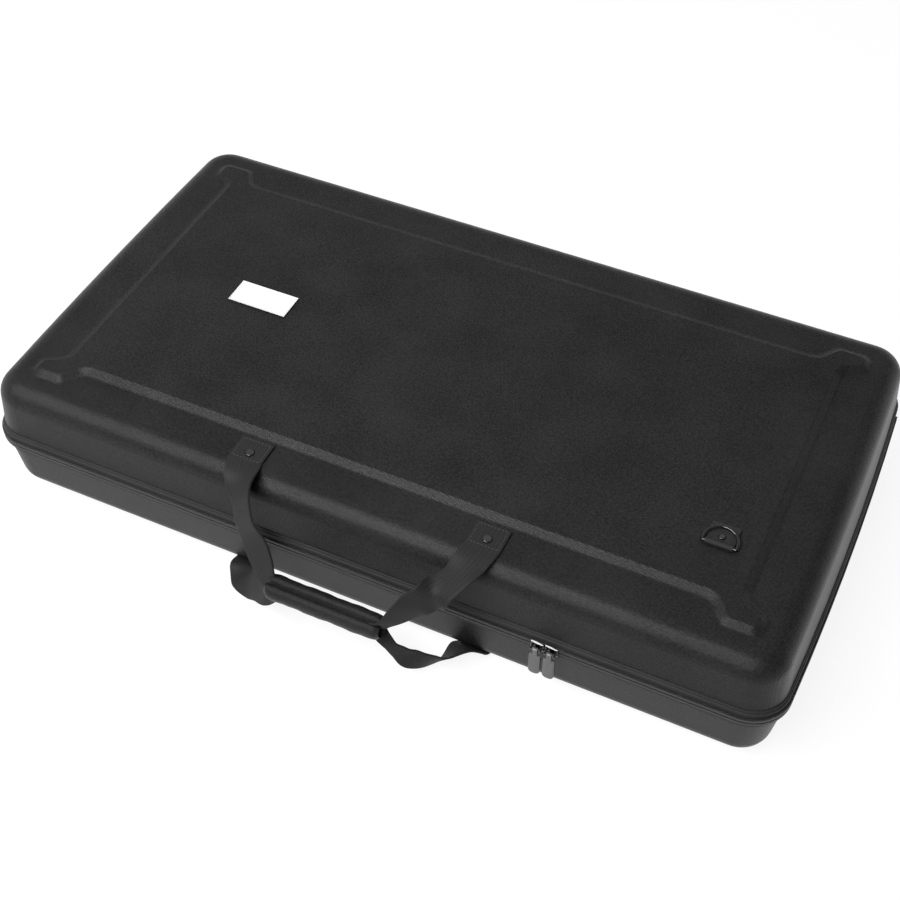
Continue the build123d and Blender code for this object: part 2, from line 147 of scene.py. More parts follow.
def copyOfNode(node, name):
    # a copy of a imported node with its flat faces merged, ready to be softened
    source = frame["nodes"][node]
    obj = source.copy()
    obj.data = source.data.copy()
    obj.parent = None
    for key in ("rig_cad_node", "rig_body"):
        if key in obj:
            del obj[key]
    bpy.context.scene.collection.objects.link(obj)
    obj.name = name
    obj.data.name = name
    openMesh(obj)
    bpy.ops.mesh.remove_doubles(threshold=meshCare["mergeGap"])
    bpy.ops.mesh.dissolve_limited(angle_limit=radians(meshCare["flatAngle"]))
    closeMesh()
    return obj


# the camera, fitted to the outline in the photograph
cameraView = {
    "place": (0.42347, -0.90864, 1.11491),
    "turn": (42.4039, -0.0361, 25.1911),
    "lens": 59.313,
    "sensor": 36.0,
    "far": 30.0,
}
bpy.ops.object.camera_add(
    location=cameraView["place"], rotation=[radians(a) for a in cameraView["turn"]]
)
camera = bpy.context.object
camera.data.lens = cameraView["lens"]
camera.data.sensor_width = cameraView["sensor"]
camera.data.clip_end = cameraView["far"]
bpy.context.scene.camera = camera
print("camera placed")


def startMaterial(name):
    material = bpy.data.materials.new(name)
    material.use_nodes = True
    tree = material.node_tree
    return material, tree, tree.nodes["Principled BSDF"]


def addNode(tree, kind, **values):
    node = tree.nodes.new(kind)
    for key, value in values.items():
        setattr(node, key, value)
    return node


def setShader(shader, values):
    for key, value in values.items():
        shader.inputs[key].default_value = value


def mathNode(tree, operation, first, second=0.0):
    node = addNode(tree, "ShaderNodeMath", operation=operation)
    for socket, value in zip(node.inputs, (first, second)):
        if isinstance(value, (int, float)):
            socket.default_value = value
        else:
            tree.links.new(value, socket)
    return node.outputs[0]


def weightedSum(tree, *terms):
    # each term is a socket and its weight
    parts = [s if w == 1 else mathNode(tree, "MULTIPLY", s, w) for s, w in terms]
    total = parts[0]
    for part in parts[1:]:
        total = mathNode(tree, "ADD", total, part)
    return total


def threadWave(tree, source, direction, pitch):
    # a wave along one direction, one crest to each thread
    dot = addNode(tree, "ShaderNodeVectorMath", operation="DOT_PRODUCT")
    dot.inputs[1].default_value = [d * 2 * pi / pitch for d in direction]
    tree.links.new(source, dot.inputs[0])
    return mathNode(tree, "SINE", dot.outputs["Value"])


def noiseNode(tree, source, scale, detail):
    node = addNode(tree, "ShaderNodeTexNoise")
    node.inputs["Scale"].default_value = scale
    node.inputs["Detail"].default_value = detail
    tree.links.new(source, node.inputs["Vector"])
    return node.outputs["Fac"]


def rampNode(tree, source, stops):
    node = addNode(tree, "ShaderNodeValToRGB")
    for element, (place, colour) in zip(node.color_ramp.elements, stops):
        element.position = place
        element.color = (*colour, 1)
    tree.links.new(source, node.inputs["Fac"])
    return node.outputs["Color"]


def finishMaterial(tree, shader, look, tone, toneEnds, height):
    # colour from the tone, bump from the height, the rest from the look
    stops = list(zip(toneEnds, (look["dark"], look["light"])))
    tree.links.new(rampNode(tree, tone, stops), shader.inputs["Base Color"])
    bump = addNode(tree, "ShaderNodeBump")
    bump.inputs["Strength"].default_value = look["bump"]
    bump.inputs["Distance"].default_value = look["depth"]
    tree.links.new(height, bump.inputs["Height"])
    tree.links.new(bump.outputs["Normal"], shader.inputs["Normal"])
    setShader(shader, look["shader"])


clothMix = {
    "warp": (1.0, 0.25, 0.75), "weft": (-0.75, 1.0, 0.6), "weave": 0.22,
    "fibreDetail": 4.0, "patchDetail": 2.0, "fine": 0.7, "patches": 0.3,
    "fibreHeight": 2.5, "toneEnds": (0.3, 0.7),
}
webbingMix = {
    "zigzag": 0.5, "rib": 0.5, "column": 0.35, "weave": 0.18,
    "fibreDetail": 4.0, "toneEnds": (0.25, 0.8),
}
grainMix = {"detail": 5.0, "toneEnds": (0.3, 0.7)}


def wovenCloth(name, look):
    # threads follow the object's own coordinates
    material, tree, shader = startMaterial(name)
    where = addNode(tree, "ShaderNodeTexCoord").outputs["Object"]
    warp = threadWave(tree, where, clothMix["warp"], look["pitch"])
    weft = threadWave(tree, where, clothMix["weft"], look["pitch"])
    weave = mathNode(tree, "MULTIPLY", warp, weft)
    fibres = noiseNode(tree, where, look["fibreScale"], clothMix["fibreDetail"])
    patches = noiseNode(tree, where, look["patchScale"], clothMix["patchDetail"])
    fine = weightedSum(tree, (weave, clothMix["weave"]), (fibres, 1))
    tone = weightedSum(tree, (fine, clothMix["fine"]), (patches, clothMix["patches"]))
    height = weightedSum(tree, (weave, 1), (fibres, clothMix["fibreHeight"]))
    finishMaterial(tree, shader, look, tone, clothMix["toneEnds"], height)
    return material


def ribbedCloth(name, look):
    # ribs cross the webbing in a shallow zigzag, columns run along it
    material, tree, shader = startMaterial(name)
    uv = addNode(tree, "ShaderNodeUVMap", uv_map="UVMap").outputs["UV"]
    parts = addNode(tree, "ShaderNodeSeparateXYZ")
    tree.links.new(uv, parts.inputs[0])
    across, along = parts.outputs[0], parts.outputs[1]
    zigzag = mathNode(tree, "PINGPONG", mathNode(tree, "MULTIPLY", across, look["columns"]), 1.0)
    slanted = weightedSum(tree, (along, look["ribs"]), (zigzag, webbingMix["zigzag"]))
    ribs = mathNode(tree, "SINE", mathNode(tree, "MULTIPLY", slanted, 2 * pi))
    columns = mathNode(
        tree, "SINE", mathNode(tree, "MULTIPLY", across, look["columns"] * 2 * pi)
    )
    where = addNode(tree, "ShaderNodeTexCoord").outputs["Object"]
    fibres = noiseNode(tree, where, look["fibreScale"], webbingMix["fibreDetail"])
    weave = weightedSum(tree, (ribs, webbingMix["rib"]), (columns, webbingMix["column"]))
    tone = weightedSum(tree, (weave, webbingMix["weave"]), (fibres, 1))
    height = weightedSum(tree, (weave, 1), (fibres, 1))
    finishMaterial(tree, shader, look, tone, webbingMix["toneEnds"], height)
    return material


def flecked(name, look):
    # foam, fleece, metal and thread: a fine grain over one colour
    material, tree, shader = startMaterial(name)
    where = addNode(tree, "ShaderNodeTexCoord").outputs["Object"]
    grain = noiseNode(tree, where, look["grainScale"], grainMix["detail"])
    finishMaterial(tree, shader, look, grain, grainMix["toneEnds"], grain)
    return material


shellLook = {
    "pitch": 2.3 * mm, "fibreScale": 520, "patchScale": 14, "bump": 0.6, "depth": 0.14 * mm,
    "dark": (0.002, 0.002, 0.0022), "light": (0.025, 0.025, 0.0256),
    "shader": {"Roughness": 0.36, "Specular IOR Level": 0.2},
}
webbingLook = {
    "columns": 8, "ribs": 16, "fibreScale": 1400, "bump": 0.4, "depth": 0.2 * mm,
    "dark": (0.009, 0.009, 0.0094), "light": (0.024, 0.024, 0.0247),
    "shader": {"Roughness": 0.6, "Specular IOR Level": 0.24},
}
tapeLook = {
    "pitch": 1.1 * mm, "fibreScale": 1600, "patchScale": 20, "bump": 0.4, "depth": 0.2 * mm,
    "dark": (0.014, 0.014, 0.0145), "light": (0.036, 0.036, 0.0368),
    "shader": {"Roughness": 0.45, "Specular IOR Level": 0.22},
}
bindingLook = dict(tapeLook, pitch=0.9 * mm, light=(0.034, 0.034, 0.0355))
wrapLook = dict(shellLook, pitch=1.3 * mm, light=(0.023, 0.023, 0.0245))
fleeceLook = {
    "grainScale": 1100, "bump": 0.7, "depth": 0.8 * mm,
    "dark": (0.012, 0.012, 0.013), "light": (0.035, 0.035, 0.038),
    "shader": {
        "Roughness": 0.95, "Specular IOR Level": 0.15, "Sheen Weight": 0.35,
        "Sheen Roughness": 0.6,
    },
}
foamLook = {
    "grainScale": 1500, "bump": 0.5, "depth": 0.5 * mm,
    "dark": (0.02, 0.02, 0.021), "light": (0.042, 0.042, 0.044),
    "shader": {"Roughness": 0.95, "Specular IOR Level": 0.15},
}
coilLook = {
    "pitch": 1.3 * mm, "fibreScale": 2000, "patchScale": 30, "bump": 0.6, "depth": 0.35 * mm,
    "dark": (0.01, 0.01, 0.011), "light": (0.026, 0.026, 0.028),
    "shader": {"Roughness": 0.38, "Specular IOR Level": 0.5},
}
platedLook = {
    "grainScale": 600, "bump": 0.05, "depth": 0.05 * mm,
    "dark": (0.022, 0.022, 0.024), "light": (0.038, 0.038, 0.041),
    "shader": {"Metallic": 1.0, "Roughness": 0.12, "Coat Weight": 0.6, "Coat Roughness": 0.06},
}
gunmetalLook = {
    "grainScale": 900, "bump": 0.12, "depth": 0.06 * mm,
    "dark": (0.125, 0.125, 0.13), "light": (0.165, 0.165, 0.17),
    "shader": {"Metallic": 0.35, "Roughness": 0.42, "Specular IOR Level": 0.5},
}
labelLook = {
    "pitch": 0.7 * mm, "fibreScale": 1500, "patchScale": 60, "bump": 0.4, "depth": 0.15 * mm,
    "dark": (0.82, 0.82, 0.805), "light": (0.92, 0.92, 0.91),
    "shader": {"Roughness": 0.7, "Specular IOR Level": 0.3, "Sheen Weight": 0.1},
}
threadLook = {
    "grainScale": 2500, "bump": 0.2, "depth": 0.05 * mm,
    "dark": (0.03, 0.03, 0.032), "light": (0.06, 0.06, 0.063),
    "shader": {"Roughness": 0.5, "Specular IOR Level": 0.45},
}
labelThreadLook = dict(threadLook, dark=(0.4, 0.4, 0.39), light=(0.6, 0.6, 0.59))

shellCloth = wovenCloth("shell cloth", shellLook)
webbingCloth = ribbedCloth("strap webbing", webbingLook)
zipTapeCloth = wovenCloth("zip tape", tapeLook)
bindingCloth = wovenCloth("binding tape", bindingLook)
wrapCloth = wovenCloth("grip cloth", wrapLook)
fleece = flecked("fleece lining", fleeceLook)
foam = flecked("foam", foamLook)
coilPlastic = wovenCloth("zip coil", coilLook)
blackNickel = flecked("black nickel", platedLook)
gunmetal = flecked("gunmetal", gunmetalLook)
labelWeave = wovenCloth("label weave", labelLook)
thread = flecked("sewing thread", threadLook)
labelThread = flecked("label thread", labelThreadLook)
print("materials made")

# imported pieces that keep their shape
keptNodes = {
    "lid_shell": shellCloth, "base_shell": shellCloth,
    "lower_zip_coil": coilPlastic, "upper_zip_coil": coilPlastic, "zip_end_stops": blackNickel,
    "lid_rivets": blackNickel, "base_rivets": blackNickel, "d_ring_rivet": blackNickel,
    "lid_rivet_washers": blackNickel, "base_rivet_washers": blackNickel, "d_ring": blackNickel,
}
for node, material in keptNodes.items():
    obj = frame["nodes"][node]
    obj.data.materials.clear()
    obj.data.materials.append(material)
print("kept pieces dressed")

# outline of the case: round corners between bowed ends and straight long sides
outline = {
    "halfLength": 390 * mm, "halfWidth": 215 * mm, "bow": 6 * mm, "corner": 36 * mm,
    "longSteps": 36, "cornerSteps": 12, "endSteps": 20,
}


def caseOutline(out):
    # points round the case, moved outwards by out
    x = outline["halfLength"] + out
    y = outline["halfWidth"] + out
    bow = outline["bow"]
    r = outline["corner"] + out
    arc = (y * y + bow * bow) / (2 * bow)
    arcX = x + bow - arc
    cornerX = arcX + sqrt((arc - r) ** 2 - (y - r) ** 2)
    meet = atan2(y - r, cornerX - arcX)
    quarter = []
    for i in range(outline["cornerSteps"]):
        angle = -pi / 2 + (pi / 2 - meet) * i / outline["cornerSteps"]
        quarter.append((cornerX + r * cos(angle), -(y - r) + r * sin(angle)))
    end = []
    for i in range(outline["endSteps"] + 1):
        angle = -meet + 2 * meet * i / outline["endSteps"]
        end.append((arcX + arc * cos(angle), arc * sin(angle)))
    right = quarter + end + [(px, -py) for px, py in reversed(quarter)]
    left = [(-px, -py) for px, py in right]
    steps = outline["longSteps"]
    front = [(-cornerX + 2 * cornerX * i / steps, -y) for i in range(1, steps)]
    back = [(-px, y) for px, py in front]
    return front + right + back + left


def sweepRound(name, profile):
    # closed band round the case; each profile point is how far out and how high it is
    rings = [caseOutline(out * mm) for out, height in profile]
    steps = len(rings[0])
    clearSelection()
    bpy.ops.mesh.primitive_torus_add(major_segments=steps, minor_segments=len(profile))
    obj = named(name)
    for i in range(steps):
        for j, (out, height) in enumerate(profile):
            vertex = obj.data.vertices[i * len(profile) + j]
            vertex.co = (*rings[j][i], height * mm)
    tidyMesh(obj)
    smooth(obj, 50)
    return obj


def makeBand(band, material, body):
    obj = sweepRound(band["name"], band["profile"])
    dress(obj, material, body)
    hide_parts(band["node"])


upperTape = {
    "name": "upper_tape_ribbed", "node": "upper_zip_tape",
    "profile": [
        (-2.5, 70.7), (-0.15, 70.7), (0.0, 71.0), (0.05, 73.3), (-0.12, 73.5), (0.05, 73.7),
        (0.05, 76.3), (-0.12, 76.5), (0.1, 76.8), (0.2, 78.3), (-0.1, 79.1), (-0.6, 79.6),
        (-1.4, 79.9), (-2.5, 79.9),
    ],
}
lowerTape = {
    "name": "lower_tape_ribbed", "node": "lower_zip_tape",
    "profile": [
        (-2.5, 61.1), (-1.4, 61.1), (-0.6, 61.4), (-0.1, 61.9), (0.2, 62.7), (0.1, 64.2),
        (-0.12, 64.5), (0.05, 64.7), (0.05, 67.3), (-0.12, 67.5), (0.05, 67.7), (0.0, 70.0),
        (-0.15, 70.3), (-2.5, 70.3),
    ],
}
upperBinding = {
    "name": "upper_binding_roll", "node": "upper_binding",
    "profile": [
        (-2.5, 80.0), (-1.7, 80.0), (-1.2, 80.4), (-1.2, 81.2), (-1.7, 81.9), (-2.5, 82.1),
    ],
}
lowerBinding = {
    "name": "lower_binding_roll", "node": "lower_binding",
    "profile": [
        (-2.5, 58.9), (-1.7, 59.1), (-1.2, 59.8), (-1.2, 60.6), (-1.7, 61.0), (-2.5, 61.0),
    ],
}
# the flap leans in a little towards its free edge
dustFlap = {
    "name": "dust_flap_rolled", "node": "dust_flap",
    "profile": [
        (-8.3, 50.0), (-8.25, 60.0), (-8.3, 68.0), (-8.6, 73.0), (-9.0, 74.2), (-9.7, 74.2),
        (-10.0, 73.0), (-9.9, 68.0), (-9.8, 60.0), (-9.75, 50.0),
    ],
}
makeBand(upperTape, zipTapeCloth, "lid")
makeBand(lowerTape, zipTapeCloth, "base")
makeBand(upperBinding, bindingCloth, "lid")
makeBand(lowerBinding, bindingCloth, "base")
makeBand(dustFlap, fleece, "base")
print("zip band made")


def throughPoints(rows, steps):
    # smooth values through the rows of numbers
    ends = [rows[0]] + list(rows) + [rows[-1]]
    spans = len(rows) - 1
    result = []
    for step in range(steps + 1):
        place = step / steps * spans
        k = min(int(place), spans - 1)
        t = place - k
        result.append([
            0.5 * (
                2 * q + (r - p) * t + (2 * p - 5 * q + 4 * r - s) * t * t
                + (3 * q - p - 3 * r + s) * t ** 3
            )
            for p, q, r, s in zip(*ends[k:k + 4])
        ])
    return result


def nameUvLayer(obj):
    layer = obj.data.uv_layers.active or obj.data.uv_layers.new(name="UVMap")
    layer.name = "UVMap"
    return layer


webbingShape = {"across": 10, "edge": 0.28, "edgeSteps": 2, "patternLength": 32}


def makeRibbon(name, rows, thick, steps):
    # each row is a point, the direction across and the width, in millimetres
    flat = [[*point, *Vector(side).normalized(), width] for point, side, width in rows]
    path = throughPoints(flat, steps)
    centres = [Vector(row[:3]) * mm for row in path]
    across = webbingShape["across"]
    clearSelection()
    bpy.ops.mesh.primitive_grid_add(x_subdivisions=across, y_subdivisions=steps, size=1)
    obj = named(name)
    travelled = [0.0]
    for first, second in zip(centres, centres[1:]):
        travelled.append(travelled[-1] + (second - first).length)
    for index, vertex in enumerate(obj.data.vertices):
        i, j = divmod(index, across + 1)
        ahead = centres[min(i + 1, steps)] - centres[max(i - 1, 0)]
        side = Vector(path[i][3:6])
        side = (side - ahead * side.dot(ahead) / ahead.length_squared).normalized()
        vertex.co = centres[i] + side * ((j / across - 0.5) * path[i][6] * mm)
    layer = nameUvLayer(obj)
    for loop in obj.data.loops:
        i, j = divmod(loop.vertex_index, across + 1)
        along = travelled[i] / (webbingShape["patternLength"] * mm)
        layer.data[loop.index].uv = (j / across, along)
    applyModifier(obj, "SOLIDIFY", thickness=thick * mm, offset=0.0)
    roundEdges(obj, thick * webbingShape["edge"] * mm, webbingShape["edgeSteps"])
    smooth(obj, 50)
    return obj


lidStrap = {
    "thick": 1.9, "steps": 72,
    "left": [
        ((-116, -162.5, 136.2), (1, 0, 0), 32), ((-116, -172, 136.25), (1, 0, 0), 32),
        ((-116, -182, 136.2), (1, 0, 0), 32), ((-115.5, -190, 136.2), (1, -0.04, 0), 32),
        ((-109.5, -207, 135.9), (0.92, -0.36, 0.16), 32),
        ((-100.8, -223, 130.2), (0.8, -0.44, 0.41), 32),
        ((-90.5, -237.0, 117.5), (0.84, -0.36, 0.41), 32),
        ((-77.5, -244.5, 104.0), (0.84, -0.1, 0.53), 31),
        ((-66, -253, 91.5), (0.72, 0.05, 0.69), 28), ((-57, -260, 81.5), (0.55, 0.1, 0.83), 22),
        ((-48, -261.5, 76), (0.2, 0.3, 0.93), 18),
    ],
    "right": [
        ((116, -162.5, 136.2), (1, 0, 0), 32), ((116, -172, 136.25), (1, 0, 0), 32),
        ((116, -182, 136.2), (1, 0, 0), 32), ((115.5, -190, 136.2), (1, 0.04, 0), 32),
        ((112.5, -206, 135.4), (0.98, 0.21, 0.06), 32),
        ((106.5, -223, 130.1), (0.84, 0.32, 0.43), 32),
        ((94.5, -238, 119), (0.72, 0.48, 0.48), 32),
        ((80, -247.5, 105.5), (0.88, 0.42, 0.12), 32),
        ((67, -253.5, 90), (0.6, 0.55, -0.5), 28), ((56, -261, 80), (0.1, 0.5, -0.85), 21),
        ((47, -261.5, 75.5), (0, 0.5, -0.87), 18),
    ],
}
baseStrap = {
    "thick": 1.9, "steps": 80,
    "left": [
        ((-116, -162.5, 3.9), (1, 0, 0), 32), ((-116, -185, 3.9), (1, 0, 0), 32),
        ((-117, -199, 4.4), (1, -0.03, 0.05), 32),
        ((-116.6, -210, 9.6), (0.96, -0.11, 0.27), 32),
        ((-111, -221, 10.8), (0.84, -0.17, 0.51), 31),
        ((-96, -233, 20), (0.63, -0.09, 0.77), 28), ((-80.4, -244, 33), (0.54, 0.07, 0.84), 22),
        ((-66.5, -255, 45.3), (0.39, 0.16, 0.9), 18), ((-57, -255.5, 54), (0.2, 0.7, 0.7), 17),
        ((-46, -254, 59.6), (0, 1, 0), 16), ((-20, -254, 59.6), (0, 1, 0), 16),
        ((0, -254, 59.6), (0, 1, 0), 16),
    ],
    "right": [
        ((116, -162.5, 3.9), (1, 0, 0), 32), ((116, -185, 3.9), (1, 0, 0), 32),
        ((114.5, -199, 4.4), (0.99, -0.08, 0.08), 32),
        ((107.2, -210.5, 12.9), (0.77, -0.34, 0.5), 32),
        ((99.5, -228.5, 14.6), (0.42, -0.45, 0.79), 25),
        ((91, -237, 17.2), (0.12, -0.27, 0.95), 22),
        ((82.6, -244.5, 21.6), (-0.03, -0.03, 1.0), 22),
        ((74.5, -250, 28.3), (-0.13, 0.1, 0.98), 22),
        ((66.5, -253, 37), (-0.13, -0.02, 0.99), 18), ((60, -255, 44), (-0.08, 0.1, 0.98), 13),
        ((53, -255, 52.5), (0, 0.6, 0.8), 13), ((45, -254, 59.6), (0, 1, 0), 16),
        ((20, -254, 59.6), (0, 1, 0), 16), ((0, -254, 59.6), (0, 1, 0), 16),
    ],
}
for side in ("left", "right"):
    strap = makeRibbon(f"lid_strap_{side}", lidStrap[side], lidStrap["thick"], lidStrap["steps"])
    dress(strap, webbingCloth, None)
    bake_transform(strap)
    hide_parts("lid_strap_tabs", "lid_strap_loop")
for side in ("left", "right"):
    strap = makeRibbon(
        f"base_strap_{side}", baseStrap[side], baseStrap["thick"], baseStrap["steps"]
    )
    dress(strap, webbingCloth, None)
    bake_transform(strap)
    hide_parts("base_strap_tabs", "base_strap_loop")

# the webbing that joins lid and base along the back
hingeShape = {
    "halfLong": 300, "low": 61.2, "high": 79.8, "outer": 216.0, "thick": 1.1,
    "columns": 60, "rows": 16,
}
clearSelection()
bpy.ops.mesh.primitive_grid_add(
    x_subdivisions=hingeShape["columns"], y_subdivisions=hingeShape["rows"], size=1
)
hingeWebbing = named("hinge_webbing")
pointsInRow = hingeShape["columns"] + 1
for index, vertex in enumerate(hingeWebbing.data.vertices):
    row, column = divmod(index, pointsInRow)
    x = hingeShape["halfLong"] * (1 - 2 * column / hingeShape["columns"])
    rise = (hingeShape["high"] - hingeShape["low"]) * row / hingeShape["rows"]
    vertex.co = Vector((x, hingeShape["outer"], hingeShape["low"] + rise)) * mm
layer = nameUvLayer(hingeWebbing)
patterns = 2 * hingeShape["halfLong"] / webbingShape["patternLength"]
for loop in hingeWebbing.data.loops:
    row, column = divmod(loop.vertex_index, pointsInRow)
    layer.data[loop.index].uv = (row / hingeShape["rows"], column / pointsInRow * patterns)
applyModifier(hingeWebbing, "SOLIDIFY", thickness=hingeShape["thick"] * mm, offset=0.0)
smooth(hingeWebbing, 50)
dress(hingeWebbing, webbingCloth, None)
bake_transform(hingeWebbing)
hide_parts("lower_hinge_strip", "upper_hinge_strip")
print("webbing made")

# the padded grip: a seam groove, drawn-in ends and a tunnel for the straps
# a pucker is its size, waves along the grip, start and waves round it
grip = {
    "half": 56.0, "middle": (-261.5, 75.0), "deep": 11.6, "tall": 12.4, "lean": 30.0,
    "groove": 0.34, "grooveWide": 0.26, "grooveAt": 78.0, "around": 56, "along": 44,
    "endRound": 6.0, "endSize": 0.72, "puckers": [(0.025, 9, 1.3, 0), (0.015, 23, 0, 2)],
    "tunnelSteps": 6, "tunnelReach": 0.97, "tunnelSize": 0.62,
}


def gripSection(share, angle):
    # a point of the wrap: share runs from -1 to 1 along it, angle goes round
    fromEnd = grip["half"] * (1 - abs(share))
    ending = 1.0
    if fromEnd < grip["endRound"]:
        arch = sqrt(max(0.0, 1 - (1 - fromEnd / grip["endRound"]) ** 2))
        ending = grip["endSize"] + (1 - grip["endSize"]) * arch
    offset = (angle - radians(grip["grooveAt"]) + pi) % (2 * pi) - pi
    depth = 1 - grip["groove"] * exp(-(offset / grip["grooveWide"]) ** 2)
    puff = 1.0
    for size, waves, start, turns in grip["puckers"]:
        puff += size * cos(share * waves + start + angle * turns)
    across = grip["deep"] * cos(angle) * depth * ending * puff
    up = grip["tall"] * sin(angle) * depth * ending * puff
    lean = radians(grip["lean"])
    y = grip["middle"][0] + across * cos(lean) - up * sin(lean)
    z = grip["middle"][1] + across * sin(lean) + up * cos(lean)
    return Vector((grip["half"] * share, y, z)) * mm


clearSelection()
bpy.ops.mesh.primitive_torus_add(major_segments=grip["along"], minor_segments=grip["around"])
gripWrap = named("grip_wrap")
outerSteps = grip["along"] - grip["tunnelSteps"]
for i in range(grip["along"]):
    for j in range(grip["around"]):
        angle = 2 * pi * j / grip["around"]
        vertex = gripWrap.data.vertices[i * grip["around"] + j]
        if i < outerSteps:
            vertex.co = gripSection(-1 + 2 * i / (outerSteps - 1), angle)
        else:
            back = (i - outerSteps) / (grip["tunnelSteps"] - 1)
            edge = gripSection(grip["tunnelReach"] * (1 - 2 * back), angle)
            core = Vector((edge.x, grip["middle"][0] * mm, grip["middle"][1] * mm))
            vertex.co = core + (edge - core) * grip["tunnelSize"]
tidyMesh(gripWrap)
smooth(gripWrap, 60)
dress(gripWrap, wrapCloth, "lid_handle")
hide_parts("handle_wrap")
print("grip made")


def makeStitches(name, stitches, size, body, material):
    # one stitch is shaped and the rest are copies of it
    # each stitch is its place and its direction, in millimetres
    clearSelection()
    bpy.ops.mesh.primitive_uv_sphere_add(segments=8, ring_count=5, radius=0.5 * mm)
    first = named(name)
    for vertex in first.data.vertices:
        vertex.co = [value * stretch for value, stretch in zip(vertex.co, size)]
    copies = []
    for place, direction in stitches:
        stitch = first.copy()
        stitch.data = first.data.copy()
        bpy.context.scene.collection.objects.link(stitch)
        stitch.rotation_mode = "QUATERNION"
        stitch.rotation_quaternion = Vector(direction).to_track_quat("X", "Z")
        stitch.location = Vector(place) * mm
        copies.append(stitch)
    bpy.data.objects.remove(first)
    seam = joined(name, copies)
    applyPlace(seam)
    seam.rotation_mode = "XYZ"
    smooth(seam, 60)
    dress(seam, material, body)


def stitchedBorder(middle, halfSize, height, pitch):
    # stitches round a rectangle
    (x, y), (halfX, halfY) = middle, halfSize
    corners = [
        Vector((x + sideX * halfX, y + sideY * halfY, height))
        for sideX, sideY in ((-1, -1), (1, -1), (1, 1), (-1, 1))
    ]
    stitches = []
    for start, end in zip(corners, corners[1:] + corners[:1]):
        count = max(1, round((end - start).length / pitch))
        heading = (end - start).normalized()
        stitches += [
            (start + (end - start) * ((i + 0.5) / count), heading) for i in range(count)
        ]
    return stitches


tabStitch = {
    "middles": ((-116, -176.1), (116, -176.1)), "halfSize": (13.4, 10.9), "height": 137.25,
    "pitch": 3.2, "size": (2.3, 0.75, 0.5),
}
tabStitches = []
for middle in tabStitch["middles"]:
    tabStitches += stitchedBorder(
        middle, tabStitch["halfSize"], tabStitch["height"], tabStitch["pitch"]
    )
makeStitches("tab_stitches", tabStitches, tabStitch["size"], "lid", thread)
print("stitches made")

# the label is bare, with a sewn border and a dark rim of painted shade: dark cloth round its
# edge stands for the shadow there
labelShape = {
    "middle": (-206.0, 0.8), "long": 63.6, "wide": 31.0, "low": 140.05, "high": 140.9,
    "rim": 0.7, "step": 0.25, "drop": 0.35, "soft": 0.16, "softAngle": 25,
    "stitchIn": 1.7, "stitchPitch": 2.6, "stitchSize": (1.7, 0.55, 0.4), "stitchLift": 0.05,
}
labelMiddle = (*labelShape["middle"], (labelShape["low"] + labelShape["high"]) / 2)
labelSize = (labelShape["long"], labelShape["wide"], labelShape["high"] - labelShape["low"])
clearSelection()
bpy.ops.mesh.primitive_cube_add(
    size=1, location=[value * mm for value in labelMiddle], scale=[s * mm for s in labelSize]
)
label = named("label_bare")
applyPlace(label)
label.data.materials.clear()
label.data.materials.append(labelWeave)
label.data.materials.append(bindingCloth)
openMesh(label, "DESELECT")
bpy.ops.mesh.select_mode(type="FACE")
closeMesh()
for face in label.data.polygons:
    face.select = face.normal.z > 0.9
bpy.ops.object.mode_set(mode="EDIT")
bpy.ops.mesh.inset(thickness=labelShape["rim"] * mm, depth=0)
closeMesh()
# the outer ring of the top and the sides take the dark cloth: painted shadow round the label
for face in label.data.polygons:
    face.material_index = 0 if face.select else 1
bpy.ops.object.mode_set(mode="EDIT")
bpy.ops.mesh.inset(thickness=labelShape["step"] * mm, depth=-labelShape["drop"] * mm)
closeMesh()
roundEdges(label, labelShape["soft"] * mm, 2, labelShape["softAngle"])
smooth(label, 40)
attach(label, "lid")
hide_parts("label_patch")
borderSize = [labelShape[key] / 2 - labelShape["stitchIn"] for key in ("long", "wide")]
borderHeight = labelShape["high"] - labelShape["drop"] + labelShape["stitchLift"]
labelStitches = stitchedBorder(
    labelShape["middle"], borderSize, borderHeight, labelShape["stitchPitch"]
)
makeStitches("label_stitches", labelStitches, labelShape["stitchSize"], "lid", labelThread)
print("label made")

# the cloth tab that holds the ring
ringTabShape = {"soft": 0.5, "softSteps": 3}
ringTab = copyOfNode("d_ring_tab", "ring_tab_soft")
roundEdges(ringTab, ringTabShape["soft"] * mm, ringTabShape["softSteps"])
smooth(ringTab, 45)
dress(ringTab, bindingCloth, "lid")
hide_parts("d_ring_tab")

